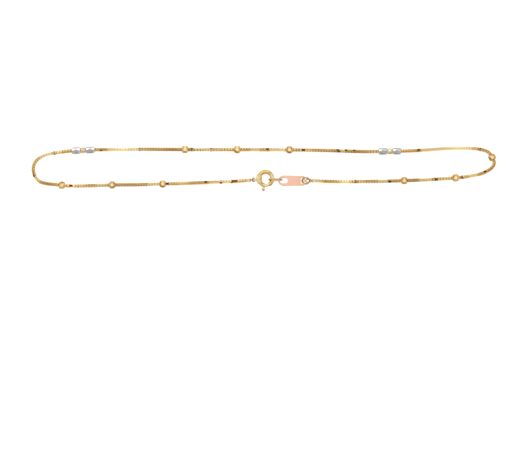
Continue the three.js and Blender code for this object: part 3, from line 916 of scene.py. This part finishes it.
def tag():
    half, end_half = TAG_WIDTH / 2, TAG_END_WIDTH / 2
    corner = TAG_CORNER
    outline = arc(half, 0, half, 90, 270, 32)
    outline += arc(TAG_LENGTH - corner, -end_half + corner, corner, 270, 360, 3)
    outline += arc(TAG_LENGTH - corner, end_half - corner, corner, 0, 90, 3)
    made = plate("rose_gold_tag", outline, TAG_THICKNESS, tag_material)
    slot = plate("slot_tool", slot_outline(*TAG_SLOT), 3 * TAG_THICKNESS, tag_material)
    hole = plate("hole_tool", slot_outline(*TAG_HOLE), 3 * TAG_THICKNESS, tag_material)
    cut(made, [slot, hole])
    softened(made, 0.06, angle=50)
    shade_by_area(made, 60)
    return made


tag_piece = tag()
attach(tag_piece, "anklet")
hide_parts("tag_plate")


# Beads and stations

# Painted reflections on the flat cuts, as tones: lowest, highest and that of the topmost cut
BEAD_CUT_REFLECTIONS = (0.1, 0.95, 0.66)
TUBE_CUT_REFLECTIONS = (0.5, 0.9, 0.25)


def faceted(name, diameter, length, profile, first_shift, material):
    """A drilled bead along X at the origin, cut with the rows of flats that its solid has."""
    end_radius = BORE_RADIUS + END_RIM
    points = [(along * length / 2, end_radius + out * (diameter / 2 - end_radius)) for along, out in profile]
    bm = bmesh.new()
    bmesh.ops.create_cube(bm, size=2, matrix=Matrix.Diagonal((length / 2, diameter, diameter, 1)))
    for row, ((x1, r1), (x2, r2)) in enumerate(zip(points, points[1:])):
        out = Vector((r1 - r2, x2 - x1)).normalized()
        reach = out.x * x1 + out.y * r1
        for k in range(FACETS):
            angle = (k + (row % 2) / 2 + first_shift) / FACETS * 2 * math.pi
            for side in (-1, 1) if r1 > r2 else (1,):
                normal = Vector((side * out.x, out.y * math.sin(angle), -out.y * math.cos(angle)))
                everything = bm.verts[:] + bm.edges[:] + bm.faces[:]
                bmesh.ops.bisect_plane(
                    bm, geom=everything, plane_co=normal * reach, plane_no=normal, clear_outer=True
                )
                bmesh.ops.holes_fill(bm, edges=[edge for edge in bm.edges if edge.is_boundary])
    bmesh.ops.remove_doubles(bm, verts=bm.verts, dist=1e-4)
    bmesh.ops.scale(bm, vec=(MM, MM, MM), verts=bm.verts)
    mesh = bpy.data.meshes.new(name)
    bm.to_mesh(mesh)
    bm.free()
    mesh.materials.append(material)
    made = bpy.data.objects.new(name, mesh)
    bpy.context.scene.collection.objects.link(made)
    x, y, z = np.identity(3)
    section = round_section(BORE_RADIUS, 32)
    bore = swept([-x * length, x * length], [(y, z)] * 2, section, closed=False)
    cut(made, [new_object("bore_tool", *bore, material)])
    softened(made, 0.03, angle=12)
    return made


def paint_cut_reflections(mesh, seed, low, high, top):
    """Paints a reflection on every flat cut: a tone of its own between two limits, by the way that it faces,
    and the topmost cut the tone that is named for it."""
    tones = []
    for face in mesh.polygons:
        x, y, z = (round(v, 2) for v in face.normal)
        # A scatter from 0 to 1 that comes out the same on each run
        share = (math.sin(x * 91.7 + y * 47.3 + z * 29.1 + seed * 5.3) * 437.585) % 1
        tones.append(top if z > 0.95 else low + (high - low) * share)
    mesh.attributes.new("cut_reflection_tone", "FLOAT", "FACE").data.foreach_set("value", tones)


def thread(pattern, node, place, half, offset, tones):
    """A copy of a faceted piece on the straight stretch of chain about a place, over its solid."""
    reach = half + STRAIGHT_MARGIN
    before, after = route.on_plan(place - reach), route.on_plan(place + reach)
    direction = (after - before) / np.linalg.norm(after - before)
    x, y = (before + after) / 2 + direction * offset
    made = pattern.copy()
    made.data = pattern.data.copy()
    made.name = node + "_cut"
    # The flat cuts get painted reflections
    paint_cut_reflections(made.data, place + offset, *tones)
    turn = Matrix.Rotation(math.atan2(direction[1], direction[0]), 4, "Z")
    made.data.transform(Matrix.Translation(Vector((x, y, route.height(place))) * MM) @ turn)
    bpy.context.scene.collection.objects.link(made)
    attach(made, "anklet")
    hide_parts(node)


def beads_and_stations():
    bead = faceted("bead_pattern", BEAD_DIAMETER, BEAD_LENGTH, BEAD_PROFILE, 0, bead_gold)
    tube = faceted("tube_pattern", TUBE_DIAMETER, TUBE_LENGTH, TUBE_PROFILE, 0, white_gold)
    spacer = faceted("spacer_pattern", SPACER_DIAMETER, SPACER_LENGTH, SPACER_PROFILE, 0.5, station_gold)
    for i, place in enumerate(BEAD_PLACES, 1):
        thread(bead, f"bead_{i}", place, BEAD_LENGTH / 2, 0, BEAD_CUT_REFLECTIONS)
    offset = (TUBE_LENGTH + SPACER_LENGTH) / 2 + STATION_GAP
    for i, place in enumerate(STATION_PLACES, 1):
        thread(tube, f"station_{i}_first_tube", place, STATION_LENGTH / 2, -offset, TUBE_CUT_REFLECTIONS)
        thread(spacer, f"station_{i}_spacer", place, STATION_LENGTH / 2, 0, BEAD_CUT_REFLECTIONS)
        thread(tube, f"station_{i}_second_tube", place, STATION_LENGTH / 2, offset, TUBE_CUT_REFLECTIONS)
    for pattern in (bead, tube, spacer):
        bpy.data.objects.remove(pattern)


beads_and_stations()


# Floor, light and camera

# The picture's size in pixels, the millimetres to a pixel, and the pixel over the middle of the loop
IMAGE_WIDTH = 530
IMAGE_HEIGHT = 465
PIXEL_SIZE = 0.28
LOOP_MIDDLE_PIXEL = (263.9, 168.68)
CAMERA_HEIGHT = 1.0
SENSOR_WIDTH = 36


def floor():
    """A pale table, lit a little from within so that shadows stay faint."""
    material, tree, shader = node_tree("pale_floor")
    place = tree.nodes.new("ShaderNodeTexCoord").outputs["Object"]
    grain = noise(tree, place, 60, 2)
    colour = ramp(tree, grain, [(0.3, (0.52, 0.52, 0.515)), (0.7, (0.54, 0.54, 0.535))])
    tree.links.new(colour, shader.inputs["Base Color"])
    shader.inputs["Roughness"].default_value = 0.9
    shader.inputs["Specular IOR Level"].default_value = 0.1
    shader.inputs["Emission Color"].default_value = (1, 1, 0.99, 1)
    shader.inputs["Emission Strength"].default_value = 0.75
    bpy.ops.mesh.primitive_plane_add(size=12)
    made = bpy.context.object
    made.name = "floor"
    made.data.materials.append(material)


def area_light(name, place, size, power):
    """A soft box that faces the middle of the loop."""
    data = bpy.data.lights.new(name, "AREA")
    data.shape = "RECTANGLE"
    data.size, data.size_y = size
    data.energy = power
    made = bpy.data.objects.new(name, data)
    made.location = place
    made.rotation_euler = (-Vector(place)).to_track_quat("-Z", "Y").to_euler()
    bpy.context.scene.collection.objects.link(made)


def world():
    """A soft white dome: a bright cap overhead, a dim ring round it, bright again half way down to the left
    and right, and grey at the horizon, darkest in front."""
    made = bpy.data.worlds.new("studio")
    made.use_nodes = True
    tree = made.node_tree
    tree.nodes.clear()
    output = tree.nodes.new("ShaderNodeOutputWorld")
    background = tree.nodes.new("ShaderNodeBackground")
    place = tree.nodes.new("ShaderNodeTexCoord").outputs["Generated"]
    height = separated(tree, place, "Z")
    depth = separated(tree, place, "Y")

    def grey(level):
        return (level, level, level * 1.02)

    # Brightness by height, towards the left and right and towards the front and back, and overhead
    across = [(0.0, grey(0.34)), (0.12, grey(0.42)), (0.32, grey(0.8)), (0.6, grey(0.95)), (0.85, grey(0.6))]
    along = [(0.0, grey(0.24)), (0.15, grey(0.28)), (0.4, grey(0.4)), (0.7, grey(0.48)), (0.85, grey(0.55))]
    cap = [(0.95, grey(0.7)), (0.985, grey(0.95)), (1.0, grey(1.0))]
    turned = to_range(tree, calculated(tree, "ABSOLUTE", depth), 0.3, 0.7, 0, 1)
    sky = mixed(tree, turned, ramp(tree, height, across + cap), ramp(tree, height, along + cap))
    behind = to_range(tree, depth, 0.4, 0.8, 0, 0.45)
    sky = mixed(tree, behind, sky, grey(0.75))
    tree.links.new(sky, background.inputs["Color"])
    background.inputs["Strength"].default_value = 1.15
    tree.links.new(background.outputs["Background"], output.inputs["Surface"])
    bpy.context.scene.world = made


def camera():
    """Straight above with a long lens, framed as the picture is."""
    pixel = PIXEL_SIZE * MM
    loop_x, loop_y = LOOP_MIDDLE_PIXEL
    data = bpy.data.cameras.new("camera")
    data.sensor_width = SENSOR_WIDTH
    data.lens = SENSOR_WIDTH * CAMERA_HEIGHT / (IMAGE_WIDTH * pixel)
    data.clip_start = 0.01
    data.clip_end = 20
    made = bpy.data.objects.new("camera", data)
    made.location = ((IMAGE_WIDTH / 2 - loop_x) * pixel, (loop_y - IMAGE_HEIGHT / 2) * pixel, CAMERA_HEIGHT)
    bpy.context.scene.collection.objects.link(made)
    bpy.context.scene.camera = made


floor()
world()
area_light("back_soft_box", (-0.2, 0.9, 1.0), (1.4, 0.9), 4)
camera()
bpy.context.scene.view_settings.view_transform = "Standard"
bpy.context.scene.view_settings.look = "None"
